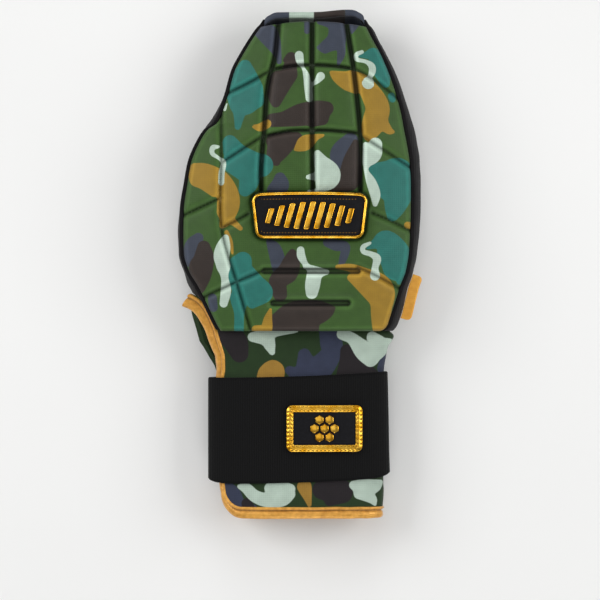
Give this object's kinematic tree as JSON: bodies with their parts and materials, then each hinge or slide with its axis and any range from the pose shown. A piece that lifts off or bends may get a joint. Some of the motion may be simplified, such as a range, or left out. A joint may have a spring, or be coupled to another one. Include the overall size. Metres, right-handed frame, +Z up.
{
  "type": "sliding mitt",
  "caption": "Padded baseball sliding mitt: two moulded shells joined by side walls, an open wrist cuff with a thumb-side slit, and an elastic wrist strap.",
  "frame": {"origin": "on the surface that the mitt lies on, under the middle of its bounding box", "axes": "+Y towards the fingertips, +X towards the little finger, +Z up through the back of the hand; the mitt lies on its palm side"},
  "size_m": [0.1374, 0.286, 0.051],
  "materials": {
    "printed_shell": "moulded foam faced with printed knit, multicolour camo, semi-matte",
    "printed_cuff": "neoprene faced with printed knit, darker camo, matte",
    "gusset_neoprene": "black neoprene, matte",
    "gold_tape": "gold knit binding tape, soft sheen",
    "strap_elastic": "black woven elastic, fine ribs",
    "black_rubber": "moulded black rubber, satin",
    "gold_rubber": "metallised gold on moulded rubber, glossy",
    "tag_ribbon": "woven satin ribbon, orange gold"
  },
  "bodies": {
    "root": {"back_shell": "printed_shell", "palm_shell": "printed_shell", "thumb_gusset": "gusset_neoprene", "finger_gusset": "gusset_neoprene", "cuff": "printed_cuff", "edge_binding": "gold_tape", "strap": "strap_elastic", "badge_plate": "black_rubber", "badge_frame": "gold_rubber", "badge_bar_1": "gold_rubber", "badge_bar_2": "gold_rubber", "badge_bar_3": "gold_rubber", "badge_bar_4": "gold_rubber", "badge_bar_5": "gold_rubber", "badge_bar_6": "gold_rubber", "badge_bar_7": "gold_rubber", "badge_bar_8": "gold_rubber", "badge_bar_9": "gold_rubber", "patch_plate": "black_rubber", "patch_frame": "gold_rubber", "patch_stud_1": "gold_rubber", "patch_stud_2": "gold_rubber", "patch_stud_3": "gold_rubber", "patch_stud_4": "gold_rubber", "patch_stud_5": "gold_rubber", "patch_stud_6": "gold_rubber", "patch_stud_7": "gold_rubber", "side_tag": "tag_ribbon"}
  },
  "joints": []
}
